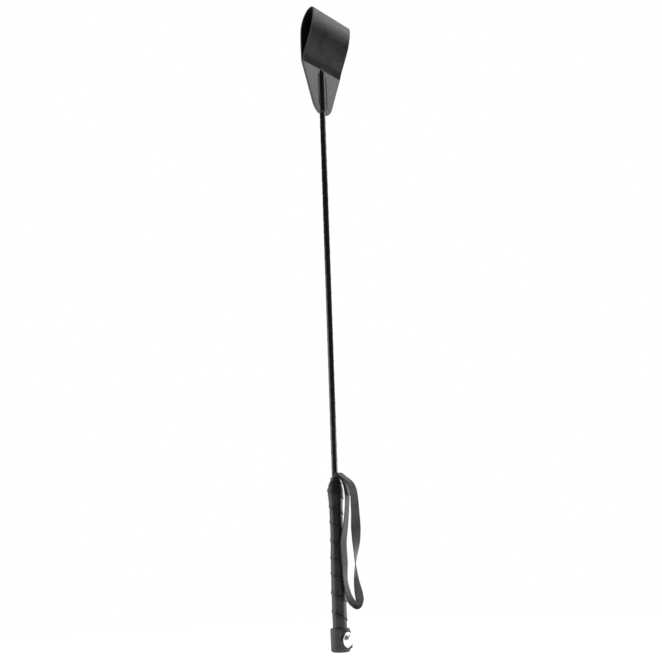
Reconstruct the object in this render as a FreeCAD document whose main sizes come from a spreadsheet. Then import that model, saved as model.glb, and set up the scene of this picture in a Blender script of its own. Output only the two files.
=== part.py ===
import FreeCAD, Part
import math
import os

import Sketcher
from FreeCAD import Placement, Rotation, Vector

# A riding crop, standing upright with its keeper at the top.
# Origin: the centre of the butt's flat end. +Z runs up the shaft. The keeper is
# folded about a line along X, and its front, the stud and the wrist strap face -Y.

DOC = FreeCAD.newDocument("riding_crop")

# ---------------------------------------------------------------- driving sizes

SIZES = {
    # overall
    "total_length": 650.0,       # butt face to the top of the keeper's fold
    # shaft
    "rod_dia": 4.8,
    "cover_dia": 6.2,            # over the spiral-wound strip
    "cover_foot": 136.0,         # where the strip starts, inside the grip
    "whipping_foot": 584.0,      # where the strip ends in a thread whipping
    "rod_tip": 589.5,
    # keeper
    "keeper_width": 64.0,
    "keeper_leather": 1.3,
    "crease_height": 593.5,      # the line where the glued wings open into the loop
    "corner_half": 14.3,         # lower corners of the wings
    "corner_height": 550.5,
    "foot_half": 6.6,            # bottom edge of the wings
    "foot_height": 544.0,
    "ridge_dia": 8.6,            # leather moulded over the shaft
    "ridge_foot": 547.5,
    "ridge_dome": 587.4,         # centre of the ridge's round end
    "flex_gap": 0.3,             # free gap at each bend line
    "stitch_pitch": 2.3,
    "stitch_long": 1.7,
    "stitch_wide": 0.6,
    "stitch_high": 0.4,
    "stitch_offset": 6.4,        # stitch rows, from the shaft's axis
    "stitch_start": 552.0,
    # handle
    "core_dia": 9.2,
    "core_foot": 4.0,
    "wrap_leather": 1.0,
    "cap_height": 21.9,
    "grip_foot_dia": 14.3,
    "grip_low_dia": 14.4,
    "grip_low": 60.0,
    "grip_waist_dia": 12.8,
    "grip_waist": 108.0,
    "grip_upper_dia": 13.2,
    "grip_upper": 134.0,
    "grip_bulge_dia": 15.6,
    "grip_bulge": 150.0,
    "grip_neck_dia": 10.6,
    "grip_neck": 159.0,
    "collar_dia": 10.2,
    "collar_top": 164.0,
    "collar_shift": 0.55,        # the collar sits towards the strap
    # butt
    "cap_dia": 19.2,
    "cap_wall": 1.2,
    "cap_floor": 1.5,
    "cap_round": 2.8,
    "lining_top": 20.6,
    "flap_thick": 0.8,
    "flap_foot": 2.9,
    "flap_top": 19.6,
    "flap_angle": 104.0,
    "stud_height": 11.4,
    "stud_dia": 13.2,
    "stud_rise": 3.0,
    "stud_sheet": 0.6,
    "stud_seat": 8.8,            # from the shaft's axis to the washer's back
    "washer_dia": 14.2,
    "washer_thick": 0.5,
    "nail_dia": 2.0,
    "nail_tip": 3.0,             # from the shaft's axis
    "nail_gap": 0.1,             # between the nail's head end and the dome
    # wrist strap
    "strap_width": 10.0,
    "strap_thick": 0.8,
    "tails_foot": 137.0,
    "tails_top": 164.6,
    "tails_angle": 150.0,
    "tails_whipping_foot": 141.0,
    "tails_whipping_top": 149.0,
    "whipping_thread": 0.6,
    "strap_pivot_out": 6.4,      # where the strap bends, in front of the shaft
    "strap_pivot_height": 166.8,
    "between_legs": 18.0,        # between the strap's two legs, in front of the shaft
    "seam_height": 133.5,
    "seam_pitch": 2.4,
    "seam_thread": 0.5,
}

SHEET = DOC.addObject("Spreadsheet::Sheet", "sizes")
for row, (alias, amount) in enumerate(SIZES.items(), start=1):
    SHEET.set("A%d" % row, alias)
    SHEET.set("B%d" % row, str(amount))
    SHEET.setAlias("B%d" % row, alias)
DOC.recompute()


def size(alias):
    """The value of a cell of the sheet."""
    return float(SHEET.get(alias))


# Formulas that several sub-parts share, in the sheet's own names.
COVER_R = "sizes.cover_dia / 2"
ROD_R = "sizes.rod_dia / 2"
CORE_R = "sizes.core_dia / 2"
CAP_R = "sizes.cap_dia / 2"
CAP_BORE_R = "sizes.cap_dia / 2 - sizes.cap_wall"
TAILS_R = "sizes.cover_dia / 2 + 2 * sizes.strap_thick"

# ---------------------------------------------------------------- builders


def bind(part, **formulas):
    """Set properties of a document object to formulas of the sheet."""
    for name, formula in formulas.items():
        part.setExpression(name.replace("__", "."), formula)
    return part


def cylinder(name, radius, bottom, top):
    """An upright cylinder on the shaft's axis."""
    part = DOC.addObject("Part::Cylinder", name)
    return bind(part, Radius=radius, Height="(%s) - (%s)" % (top, bottom), Placement__Base__z=bottom)


def bar_along_y(name, radius, near, far, height):
    """A cylinder along -Y, from near to far in front of the shaft's axis."""
    part = DOC.addObject("Part::Cylinder", name)
    part.Placement = Placement(Vector(0, 0, 0), Rotation(Vector(1, 0, 0), 90))
    length = "(%s) - (%s)" % (far, near)
    return bind(part, Radius=radius, Height=length, Placement__Base__y="-(%s)" % near,
                Placement__Base__z=height)


def wedge(name, radius, bottom, top, angle):
    """A slice of an upright cylinder, as wide as angle, centred on -Y."""
    part = DOC.addObject("Part::Cylinder", name)
    bind(part, Radius=radius, Height="(%s) - (%s)" % (top, bottom), Placement__Base__z=bottom, Angle=angle)
    part.Placement.Rotation = Rotation(Vector(0, 0, 1), -90)
    part.setExpression("Placement.Rotation.Angle", "(-90 deg - (%s) * 1 deg / 2)" % angle)
    return part


def cut(name, base, *tools):
    """base less each tool."""
    for number, tool in enumerate(tools, start=1):
        part = DOC.addObject("Part::Cut", name if number == len(tools) else "%s_less_%d" % (name, number))
        part.Base = base
        part.Tool = tool
        base = part
    return base


def fuse(name, *pieces):
    """One solid from several that touch."""
    part = DOC.addObject("Part::MultiFuse", name)
    part.Shapes = list(pieces)
    part.Refine = True
    return part


def tube(name, outer, inner, bottom, top):
    """A ring about the shaft's axis."""
    skin = cylinder(name + "_outside", outer, bottom, top)
    bore = cylinder(name + "_inside", inner, bottom, top)
    return cut(name, skin, bore)


def body(name):
    return DOC.addObject("PartDesign::Body", name)


def origin_plane(owner, role):
    return next(item for item in owner.Origin.OriginFeatures if item.Role == role)


def outline(owner, name, role, corners):
    """A closed sketch of straight sides whose corners lie at formulas of the sheet."""
    sketch = owner.newObject("Sketcher::SketchObject", name)
    sketch.AttachmentSupport = (origin_plane(owner, role), "")
    sketch.MapMode = "FlatFace"
    spots = [Vector(*[float(sketch.evalExpression(formula)) for formula in corner]) for corner in corners]
    for here, there in zip(spots, spots[1:] + spots[:1]):
        sketch.addGeometry(Part.LineSegment(here, there), False)
    for number in range(len(spots)):
        sketch.addConstraint(Sketcher.Constraint("Coincident", number, 2, (number + 1) % len(spots), 1))
    for number, (spot, corner) in enumerate(zip(spots, corners)):
        for kind, amount, formula, axis in (("DistanceX", spot.x, corner[0], -2),
                                            ("DistanceY", spot.y, corner[1], -1)):
            if amount == 0:
                sketch.addConstraint(Sketcher.Constraint("PointOnObject", number, 1, axis))
            else:
                pin = sketch.addConstraint(Sketcher.Constraint(kind, -1, 1, number, 1, amount))
                sketch.setExpression("Constraints[%d]" % pin, formula)
    return sketch


def turned(name, corners):
    """A body turned about the shaft's axis from an outline of (radius, height) corners."""
    owner = body(name)
    sketch = outline(owner, name + "_profile", "XZ_Plane", corners)
    turn = owner.newObject("PartDesign::Revolution", name + "_turn")
    turn.Profile = sketch
    turn.ReferenceAxis = (sketch, ["V_Axis"])
    turn.Angle = 360
    return owner


def rounded_run(points):
    """Straight runs joined by tangent arcs, as a list of lines and arcs in the YZ plane.

    Each arc is as large as its two runs allow: 0.45 of the shorter run on each side.
    """
    pieces = []
    start = points[0]
    for before, corner, after in zip(points, points[1:], points[2:]):
        back = before - corner
        ahead = after - corner
        turn = math.pi - back.getAngle(ahead)
        reach = 0.45 * min(back.Length, ahead.Length)
        radius = reach / math.tan(turn / 2)
        enter = corner + back.normalize() * reach
        leave = corner + ahead.normalize() * reach
        inward = (back + ahead).normalize()
        centre = corner + inward * (radius / math.cos(turn / 2))
        pieces.append(("line", start, enter))
        pieces.append(("arc", enter, centre, leave, radius, corner))
        start = leave
    pieces.append(("line", start, points[-1]))
    return pieces


def side_edges(pieces, shift):
    """The run's pieces moved sideways by shift, to the left of the way they go."""
    left = Vector(1, 0, 0)
    edges = []
    for piece in pieces:
        if piece[0] == "line":
            _, here, there = piece
            aside = left.cross(there - here).normalize() * shift
            edges.append(Part.LineSegment(here + aside, there + aside))
        else:
            _, enter, centre, leave, radius, corner = piece
            turning_left = left.cross(corner - enter).dot(centre - enter) > 0
            grown = radius - shift if turning_left else radius + shift
            ways = [(spot - centre).normalize() * grown for spot in (enter, corner, leave)]
            edges.append(Part.Arc(centre + ways[0], centre + ways[1], centre + ways[2]))
    return edges


def slab(pieces, low, high, width):
    """A flat strip of the given width along X, between two sideways shifts from some of a run's pieces."""
    near = [edge.toShape() for edge in side_edges(pieces, low)]
    far = [edge.toShape() for edge in side_edges(pieces, high)]
    first = Part.LineSegment(near[0].Vertexes[0].Point, far[0].Vertexes[0].Point).toShape()
    last = Part.LineSegment(near[-1].Vertexes[-1].Point, far[-1].Vertexes[-1].Point).toShape()
    face = Part.Face(Part.Wire(Part.__sortEdges__(near + [last] + far + [first])))
    face.translate(Vector(-width / 2, 0, 0))
    return face.extrude(Vector(width, 0, 0))


def band(points, low, high, width):
    """A flat band along a route. It is made in two halves, so that it can come back to its start."""
    pieces = rounded_run(points)
    middle = len(pieces) // 2
    return slab(pieces[:middle], low, high, width).fuse(slab(pieces[middle:], low, high, width))


def bent_radii(points):
    """The radii of a route's arcs."""
    return [round(piece[4], 1) for piece in rounded_run(points) if piece[0] == "arc"]


def placed(name, shape):
    """A document object for a shape made with Part's own functions."""
    part = DOC.addObject("Part::Feature", name)
    part.Shape = shape
    part.Placement = Placement(Vector(0, 0, 0), Rotation())
    return part


def point(out, height):
    """A point in front of the shaft's axis, at x = 0."""
    return Vector(0, -out, height)


# ---------------------------------------------------------------- shaft


def make_shaft():
    rod = cylinder("rod", ROD_R, "sizes.core_foot", "sizes.rod_tip")
    cover = tube("shaft_cover", COVER_R, ROD_R, "sizes.cover_foot", "sizes.whipping_foot")
    whipping = tube("tip_whipping", COVER_R, ROD_R, "sizes.whipping_foot", "sizes.rod_tip")
    return [rod, cover, whipping]


# ---------------------------------------------------------------- handle

# Outside of the grip, from the butt to its top: (diameter, height) cells.
GRIP_SHAPE = [
    ("sizes.grip_foot_dia", "sizes.cap_height"),
    ("sizes.grip_low_dia", "sizes.grip_low"),
    ("sizes.grip_waist_dia", "sizes.grip_waist"),
    ("sizes.grip_upper_dia", "sizes.grip_upper"),
    ("sizes.grip_bulge_dia", "sizes.grip_bulge"),
    ("sizes.grip_neck_dia", "sizes.grip_neck"),
]


def grip_side(less):
    """The grip's side as (radius, height) formulas, from its foot up, less a thickness."""
    foot = [("%s / 2 - (%s)" % (GRIP_SHAPE[0][0], less), "sizes.core_foot")]
    return foot + [("%s / 2 - (%s)" % (across, less), height) for across, height in GRIP_SHAPE]


def make_handle():
    blank = tube("handle_core_blank", CORE_R, ROD_R, "sizes.core_foot", "sizes.cover_foot")
    nail = bar_along_y("core_nail_hole", "sizes.nail_dia / 2", "sizes.nail_tip", CAP_R, "sizes.stud_height")
    core = cut("handle_core", blank, nail)

    filling = turned("padding_blank", [("0", "sizes.core_foot")] + grip_side("sizes.wrap_leather")
                     + [("0", "sizes.grip_neck")])
    padding = cut("grip_padding", filling,
                  cylinder("padding_core_room", CORE_R, "sizes.core_foot", "sizes.cover_foot"),
                  cylinder("padding_cover_room", COVER_R, "sizes.cover_foot", "sizes.grip_neck"),
                  wedge("padding_tails_room", TAILS_R, "sizes.tails_foot", "sizes.grip_neck",
                        "sizes.tails_angle"),
                  tails_whipping_ring("padding_whipping_room"),
                  bar_along_y("padding_nail_hole", "sizes.nail_dia / 2", "sizes.nail_tip", CAP_R,
                              "sizes.stud_height"))

    skin = turned("wrap_blank", grip_side("0") + list(reversed(grip_side("sizes.wrap_leather"))))
    wrap = cut("grip_wrap", skin,
               wedge("wrap_tails_room", TAILS_R, "sizes.tails_foot", "sizes.grip_neck", "sizes.tails_angle"),
               bar_along_y("wrap_nail_hole", "sizes.nail_dia / 2", "sizes.nail_tip", CAP_R,
                           "sizes.stud_height"))

    ring = cylinder("collar_outside", "sizes.collar_dia / 2", "sizes.grip_neck", "sizes.collar_top")
    ring.setExpression("Placement.Base.y", "-sizes.collar_shift")
    collar = cut("grip_collar", ring,
                 cylinder("collar_shaft_room", COVER_R, "sizes.grip_neck", "sizes.collar_top"),
                 wedge("collar_tails_room", TAILS_R, "sizes.grip_neck", "sizes.collar_top",
                       "sizes.tails_angle"))
    return [core, padding, wrap, collar]


# ---------------------------------------------------------------- butt


def make_butt():
    plug = cylinder("butt_plug", CAP_BORE_R, "sizes.cap_floor", "sizes.core_foot")

    # The tools for the stud's seat and nail hole reach well past the flap.
    seat = bar_along_y("stud_seat_room", "sizes.washer_dia / 2", "sizes.stud_seat", "sizes.cap_dia",
                       "sizes.stud_height")
    hole = bar_along_y("butt_nail_hole", "sizes.nail_dia / 2", "sizes.nail_tip", "sizes.cap_dia",
                       "sizes.stud_height")

    sleeve = tube("lining_blank", CAP_BORE_R, "sizes.grip_foot_dia / 2", "sizes.core_foot",
                  "sizes.lining_top")
    lining = cut("cap_lining", sleeve, hole)

    cup = turned("cup_blank", [("0", "0"), (CAP_R, "0"), (CAP_R, "sizes.cap_height"),
                               (CAP_BORE_R, "sizes.cap_height"), (CAP_BORE_R, "sizes.cap_floor"),
                               ("0", "sizes.cap_floor")])
    DOC.recompute()
    turn = cup.Tip
    rim = max((edge_name for edge_name in ["Edge%d" % (number + 1) for number in range(len(turn.Shape.Edges))]
               if turn.Shape.getElement(edge_name).BoundBox.ZMax < 0.01),
              key=lambda edge_name: turn.Shape.getElement(edge_name).BoundBox.XLength)
    soften = cup.newObject("PartDesign::Fillet", "cup_bottom_round")
    soften.Base = (turn, [rim])
    soften.setExpression("Radius", "sizes.cap_round")
    cap = cut("butt_cap", cup, seat, hole)

    flap_outside = wedge("flap_outside", CAP_R + " + sizes.flap_thick", "sizes.flap_foot", "sizes.flap_top",
                         "sizes.flap_angle")
    flap = cut("cap_flap", flap_outside, cylinder("flap_inside", CAP_R, "sizes.flap_foot", "sizes.flap_top"),
               seat, hole)
    return [plug, lining, cap, flap]


def make_stud():
    washer_face = "sizes.stud_seat + sizes.washer_thick"
    washer_disc = bar_along_y("washer_disc", "sizes.washer_dia / 2", "sizes.stud_seat", washer_face,
                              "sizes.stud_height")
    washer_hole = bar_along_y("washer_hole", "sizes.nail_dia / 2", "sizes.stud_seat", washer_face,
                              "sizes.stud_height")
    washer = cut("stud_washer", washer_disc, washer_hole)

    # The head is a pressed dome: a slice of a thin ball, open at the back.
    ball_radius = "((sizes.stud_dia / 2) ^ 2 + sizes.stud_rise ^ 2) / (2 * sizes.stud_rise)"
    ball_centre = "%s + sizes.stud_rise - %s" % (washer_face, ball_radius)
    dome = DOC.addObject("Part::Sphere", "dome_ball")
    bind(dome, Radius=ball_radius, Placement__Base__y="-(%s)" % ball_centre,
         Placement__Base__z="sizes.stud_height")
    hollow = DOC.addObject("Part::Sphere", "dome_hollow")
    bind(hollow, Radius=ball_radius + " - sizes.stud_sheet", Placement__Base__y="-(%s)" % ball_centre,
         Placement__Base__z="sizes.stud_height")
    front = bar_along_y("dome_front", "sizes.stud_dia", washer_face, washer_face + " + 2 * sizes.stud_rise",
                        "sizes.stud_height")
    slice_of_ball = DOC.addObject("Part::Common", "dome_slice")
    slice_of_ball.Base = dome
    slice_of_ball.Tool = front
    head = cut("stud_head", slice_of_ball, hollow)

    nail = bar_along_y("stud_nail", "sizes.nail_dia / 2", "sizes.nail_tip",
                       washer_face + " + sizes.stud_rise - sizes.stud_sheet - sizes.nail_gap",
                       "sizes.stud_height")
    return [washer, head, nail]


# ---------------------------------------------------------------- wrist strap

# The strap's middle line from its bend at the top of the grip, down the leg that lies
# along the grip, round the bottom and up the free leg: (in front of the axis, height).
STRAP_LOOP = [
    (9.0, 163.6), (11.7, 159.8), (13.6, 153.2), (14.3, 143.0), (13.4, 134.0), (11.9, 122.7), (9.6, 111.0),
    (7.6, 103.0), (7.8, 92.0), (8.3, 84.0), (8.3, 73.0), (8.4, 66.0), (9.6, 60.0), (11.4, 53.5),
    (14.4, 46.6), (19.4, 42.8), (24.4, 43.0), (24.6, 48.5), (23.4, 55.0), (21.8, 63.0), (21.0, 72.0),
    (21.0, 82.0), (22.2, 93.0), (23.0, 103.0), (23.1, 115.0), (23.2, 128.0), (22.8, 139.0),
    (22.3, 147.5), (20.6, 155.0), (16.6, 160.2), (10.2, 164.6),
]
# The two layers together, from the collar up to the bend.
STRAP_STUB = [(3.9, 164.6), (4.0, 165.9), (4.7, 166.8), (6.2, 166.9)]
# Which of the route's runs and arcs the sewn-down end lies along.
LAP_PIECES = slice(2, 7)


def strap_route():
    pivot = (size("strap_pivot_out"), size("strap_pivot_height"))
    return [point(*spot) for spot in [pivot] + STRAP_LOOP + [pivot]]


def knuckle(radius, width, centre):
    """A round bar along X, where a flat piece bends."""
    return Part.makeCylinder(radius, width, centre - Vector(width / 2, 0, 0), Vector(1, 0, 0))


def tails_whipping_ring(name):
    """The thread bound over the strap's tails, as a closed ring."""
    return tube(name, TAILS_R + " + sizes.whipping_thread", TAILS_R, "sizes.tails_whipping_foot",
                "sizes.tails_whipping_top")


def make_strap():
    thick = size("strap_thick")
    width = size("strap_width")
    pivot = point(size("strap_pivot_out"), size("strap_pivot_height"))

    route = strap_route()
    loop = band(route, -thick / 2, thick / 2, width).fuse(knuckle(thick, width, pivot)).removeSplitter()
    strap = placed("wrist_strap", loop)

    # A second layer on the outside of the grip-side leg, ending in a cut edge.
    lap = placed("strap_lap", slab(rounded_run(route)[LAP_PIECES], -1.5 * thick, -0.5 * thick, width))

    # Two bars of thread across the outside of the free leg, where the loop is joined.
    thread = size("seam_thread")
    skin = band(route, 0.5 * thick, 0.5 * thick + thread, width - 2 * thread)
    levels = [size("seam_height") + number * size("seam_pitch") for number in (0, 1)]
    bars = []
    for level in levels:
        near = Vector(-width / 2, -size("between_legs") - width, level)
        bars.append(skin.common(Part.makeBox(width, width, thread, near)))
    seam = placed("strap_seam_stitches", Part.makeCompound(bars))

    tails = cut("tails_inside_grip",
                wedge("tails_outside", TAILS_R, "sizes.tails_foot", "sizes.tails_top", "sizes.tails_angle"),
                cylinder("tails_inside", COVER_R, "sizes.tails_foot", "sizes.tails_top"))
    DOC.recompute()
    stub_route = [point(*spot) for spot in STRAP_STUB]
    stub_width = 2 * (size("cover_dia") / 2 + 2 * thick) * math.sin(math.radians(size("tails_angle") / 2))
    stub = band(stub_route, -thick, thick, stub_width)
    clear = knuckle(thick + size("flex_gap"), width + 2 * thick, pivot)
    strap_tails = placed("strap_tails", tails.Shape.fuse(stub).cut(clear).removeSplitter())

    whipping = tails_whipping_ring("strap_whipping")
    print("strap arcs, mm:", bent_radii(route))
    return [strap, lap, seam, strap_tails, whipping]


# ---------------------------------------------------------------- keeper

# Middle of the keeper's leather round its free loop, from the crease up the front,
# over the fold and down the back: (in front of the axis, height).
KEEPER_LOOP = [
    (1.9, 598.6), (4.9, 605.8), (8.2, 613.6), (11.0, 620.4), (13.6, 627.4), (15.4, 635.2), (16.5, 643.0),
    (16.4, 650.0), (9.8, 648.4), (4.9, 642.7), (1.4, 636.0), (-0.5, 628.5), (-0.9, 618.0), (-0.9, 607.0),
    (-0.7, 598.0),
]


def make_keeper():
    leather = "sizes.keeper_leather"
    wings = body("wings")
    half = outline(wings, "half_wing", "XZ_Plane", [
        ("0", "sizes.foot_height"), ("sizes.foot_half", "sizes.foot_height"),
        ("sizes.corner_half", "sizes.corner_height"),
        ("sizes.keeper_width / 2", "sizes.crease_height - %s - sizes.flex_gap" % leather),
        ("0", "sizes.crease_height - %s - sizes.flex_gap" % leather)])
    pad = wings.newObject("PartDesign::Pad", "wing_pad")
    pad.Profile = half
    pad.Midplane = True
    pad.setExpression("Length", "2 * " + leather)
    both = wings.newObject("PartDesign::Mirrored", "both_wings")
    both.Originals = [pad]
    both.MirrorPlane = (origin_plane(wings, "YZ_Plane"), [""])
    wings.Tip = both

    ridge_radius = "sizes.ridge_dia / 2"
    ridge = cylinder("ridge", ridge_radius, "sizes.ridge_foot", "sizes.ridge_dome")
    ridge_end = DOC.addObject("Part::Sphere", "ridge_end")
    bind(ridge_end, Radius=ridge_radius, Placement__Base__z="sizes.ridge_dome")
    solid = fuse("base_blank", wings, ridge, ridge_end)
    tunnel = cylinder("tunnel", COVER_R, "sizes.foot_height - sizes.keeper_leather", "sizes.rod_tip")
    base = cut("keeper_base", solid, tunnel)

    thick = size("keeper_leather")
    width = size("keeper_width")
    crease = point(0, size("crease_height"))
    near = point(thick / 2, size("crease_height"))
    far = point(-thick / 2, size("crease_height"))
    route = [near] + [point(*spot) for spot in KEEPER_LOOP] + [far]
    leaf = band(route, -thick / 2, thick / 2, width)
    loop = placed("keeper_loop", leaf.fuse(knuckle(thick, width, crease)).removeSplitter())
    lift = size("total_length") - loop.Shape.BoundBox.ZMax
    print("keeper fold is %.2f mm under the total length" % lift)
    return [base, loop]


def stitch_row(name, side):
    """The stitches of one row, on the front and on the back of the wings."""
    lengthwise = size("stitch_long")
    across = size("stitch_wide")
    proud = size("stitch_high")
    face = size("keeper_leather")
    left = side * size("stitch_offset") - across / 2
    count = int((size("ridge_dome") - size("stitch_start")) / size("stitch_pitch"))
    bars = []
    for number in range(count):
        height = size("stitch_start") + number * size("stitch_pitch")
        for front in (-face - proud, face):
            bars.append(Part.makeBox(across, proud, lengthwise, Vector(left, front, height)))
    return placed(name, Part.makeCompound(bars))


# ---------------------------------------------------------------- the part

SUB_PARTS = make_shaft() + make_handle() + make_butt() + make_stud() + make_strap() + make_keeper()
SUB_PARTS += [stitch_row("keeper_stitches_left", -1), stitch_row("keeper_stitches_right", 1)]
DOC.recompute()

for item in DOC.Objects:
    if "Invalid" in item.State or "Error" in item.State:
        raise SystemExit("failed: %s %s" % (item.Label, item.State))
for part in SUB_PARTS:
    if part.Shape.isNull() or not part.Shape.isValid() or not part.Shape.Solids:
        raise SystemExit("no valid solid: " + part.Label)

os.makedirs("parts", exist_ok=True)
for part in SUB_PARTS:
    part.Shape.exportStep("parts/%s.step" % part.Label)
    box = part.Shape.BoundBox
    print("%-24s solids %2d  volume %9.1f  z %7.2f to %7.2f" % (
        part.Label, len(part.Shape.Solids), part.Shape.Volume, box.ZMin, box.ZMax))
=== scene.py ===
import math

import bmesh
import bpy
import numpy as np
from mathutils import Matrix, Vector


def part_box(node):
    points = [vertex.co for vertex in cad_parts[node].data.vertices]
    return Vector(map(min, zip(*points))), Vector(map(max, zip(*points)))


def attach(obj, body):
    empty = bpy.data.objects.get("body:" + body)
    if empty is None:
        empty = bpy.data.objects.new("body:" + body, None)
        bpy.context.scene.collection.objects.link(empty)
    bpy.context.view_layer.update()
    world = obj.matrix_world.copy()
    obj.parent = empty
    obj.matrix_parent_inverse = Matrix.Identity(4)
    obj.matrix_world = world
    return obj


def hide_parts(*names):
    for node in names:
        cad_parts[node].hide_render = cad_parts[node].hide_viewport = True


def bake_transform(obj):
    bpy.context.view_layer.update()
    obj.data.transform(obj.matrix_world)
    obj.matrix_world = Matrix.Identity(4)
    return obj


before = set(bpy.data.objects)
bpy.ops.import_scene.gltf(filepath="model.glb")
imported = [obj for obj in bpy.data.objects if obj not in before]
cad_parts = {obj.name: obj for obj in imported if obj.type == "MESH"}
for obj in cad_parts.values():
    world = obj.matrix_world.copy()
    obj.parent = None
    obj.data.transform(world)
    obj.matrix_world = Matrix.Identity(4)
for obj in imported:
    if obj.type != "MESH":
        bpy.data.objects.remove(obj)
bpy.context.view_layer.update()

# The looks of the riding crop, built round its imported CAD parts. All lengths are in metres.
# +Z runs up the shaft, and the keeper's front, the stud and the wrist strap face -Y.

MM = 0.001

# ---------------------------------------------------------------- sizes read from the frame

def half_width(node):
    """Half of a CAD node's extent along X."""
    low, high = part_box(node)
    return (high.x - low.x) / 2


COVER_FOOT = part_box("shaft_cover")[0].z
COVER_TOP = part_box("shaft_cover")[1].z
COVER_R = half_width("shaft_cover")
CAP_R = half_width("butt_cap")
CAP_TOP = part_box("butt_cap")[1].z
LINING_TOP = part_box("cap_lining")[1].z
LINING_R = half_width("cap_lining")
FLAP_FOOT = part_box("cap_flap")[0].z
FLAP_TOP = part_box("cap_flap")[1].z
COLLAR_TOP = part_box("grip_collar")[1].z
COLLAR_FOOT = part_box("grip_collar")[0].z
COLLAR_R = half_width("grip_collar")
WASHER_R = half_width("stud_washer")
STUD_R = half_width("stud_head")
STUD_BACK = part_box("stud_washer")[1].y
STUD_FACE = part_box("stud_washer")[0].y
STUD_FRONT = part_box("stud_head")[0].y
STUD_HEIGHT = (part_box("stud_washer")[0].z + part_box("stud_washer")[1].z) / 2
STRAP_WIDTH = 2 * half_width("wrist_strap")
WING_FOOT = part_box("keeper_base")[0].z
KEEPER_HALF = half_width("keeper_loop")

# ---------------------------------------------------------------- mesh helpers


def placed(name, data):
    """A new object, linked to the scene."""
    item = bpy.data.objects.new(name, data)
    bpy.context.scene.collection.objects.link(item)
    return item


def piece(name, points, faces, uvs, material, sharp_angle=50.0, seam_shade_depths=None):
    """A smooth mesh object with real-size texture coordinates, one pair for each face corner.

    Its last argument, if given, paints shade on the points: how much of the seams' painted dark line each
    holds.
    """
    mesh = bpy.data.meshes.new(name)
    mesh.from_pydata([tuple(spot) for spot in points], [], faces)
    layer = mesh.uv_layers.new(name="metres")
    layer.data.foreach_set("uv", np.asarray(uvs, float).ravel())
    mesh.materials.append(material)
    # Paints shade on the points, for the dark line in the seams.
    if seam_shade_depths is not None:
        mark(mesh, "painted_seam_shade", seam_shade_depths)
    tidy_up(mesh)
    mesh.shade_smooth()
    mesh.set_sharp_from_angle(angle=math.radians(sharp_angle))
    item = placed(name, mesh)
    return item


def tidy_up(mesh):
    """Joins points that coincide, drops faces with no area and turns all faces outwards."""
    work = bmesh.new()
    work.from_mesh(mesh)
    bmesh.ops.remove_doubles(work, verts=work.verts, dist=0.002 * MM)
    empty = [face for face in work.faces if face.calc_area() < 1e-13]
    bmesh.ops.delete(work, geom=empty, context="FACES")
    bmesh.ops.recalc_face_normals(work, faces=work.faces)
    work.to_mesh(mesh)
    work.free()


def grid_faces(rows, columns, closed):
    """Four-sided faces between rows of points, and the grid places of their corners before any wrap."""
    faces = []
    places = []
    for row in range(rows - 1):
        for column in range(columns if closed else columns - 1):
            after = column + 1
            corners = [(row, column), (row, after), (row + 1, after), (row + 1, column)]
            faces.append([across * columns + along % columns for across, along in corners])
            places.extend(corners)
    return faces, places


def loft(name, rings, material, closed=True, capped=False, sharp_angle=50.0):
    """A skin through rings of points. Its texture coordinates run round the rings and along them."""
    rings = np.asarray(rings, float)
    rows, columns, _ = rings.shape
    faces, places = grid_faces(rows, columns, closed)
    looped = np.concatenate([rings, rings[:, :1]], axis=1)
    round_steps = np.linalg.norm(np.diff(looped, axis=1), axis=2)
    around = np.concatenate([[0.0], np.cumsum(round_steps.max(axis=0))])
    along_steps = np.linalg.norm(np.diff(rings, axis=0), axis=2)
    along = np.concatenate([[0.0], np.cumsum(along_steps.max(axis=1))])
    uvs = [(around[column], along[row]) for row, column in places]
    if capped:
        for row in (0, rows - 1):
            faces.append([row * columns + column for column in range(columns)])
            uvs.extend((spot[0], spot[1]) for spot in rings[row])
    return piece(name, rings.reshape(-1, 3), faces, uvs, material, sharp_angle)


def turned(name, profile, material, segments=96, shape=None, sharp_angle=50.0):
    """A skin turned about the shaft's axis from (radius, height) pairs. shape may move its points."""
    angles = np.linspace(0, 2 * math.pi, segments, endpoint=False)
    rings = [[(radius * math.cos(a), radius * math.sin(a), height) for a in angles]
             for radius, height in profile]
    rings = np.array(rings)
    if shape is not None:
        rings = shape(rings)
    return loft(name, rings, material, sharp_angle=sharp_angle)


def rounded_profile(corners, steps=6):
    """(radius, height) pairs along straight runs whose (radius, height, bend) corners are rounded."""
    spots = [np.array(corner[:2], float) for corner in corners]
    profile = [tuple(spots[0])]
    for number in range(1, len(corners) - 1):
        before, corner, after = spots[number - 1:number + 2]
        back = before - corner
        ahead = after - corner
        reach = min(corners[number][2], 0.49 * np.linalg.norm(back), 0.49 * np.linalg.norm(ahead))
        enter = corner + back / np.linalg.norm(back) * reach
        leave = corner + ahead / np.linalg.norm(ahead) * reach
        for step in np.linspace(0, 1, steps):
            rounded = (1 - step) ** 2 * enter + 2 * step * (1 - step) * corner + step ** 2 * leave
            profile.append(tuple(rounded))
    profile.append(tuple(spots[-1]))
    return profile


def smooth_line(points, spacing):
    """Points evenly spaced along a smooth curve through the route's control points."""
    curve = bpy.data.curves.new("route", "CURVE")
    curve.dimensions = "3D"
    spline = curve.splines.new("NURBS")
    spline.points.add(len(points) - 1)
    for control, spot in zip(spline.points, points):
        control.co = (*spot, 1.0)
    spline.order_u = 3
    spline.use_endpoint_u = True
    spline.resolution_u = 24
    item = bpy.data.objects.new("route", curve)
    mesh = bpy.data.meshes.new_from_object(item)
    line = np.array([tuple(vertex.co) for vertex in mesh.vertices])
    bpy.data.meshes.remove(mesh)
    bpy.data.objects.remove(item)
    bpy.data.curves.remove(curve)
    return evenly(line, spacing)


def evenly(line, spacing):
    """The line again, with points about spacing apart."""
    along = lengths_along(line)
    count = max(2, int(round(along[-1] / spacing)) + 1)
    at = np.linspace(0, along[-1], count)
    return np.stack([np.interp(at, along, line[:, axis]) for axis in range(3)], axis=1)


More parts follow.
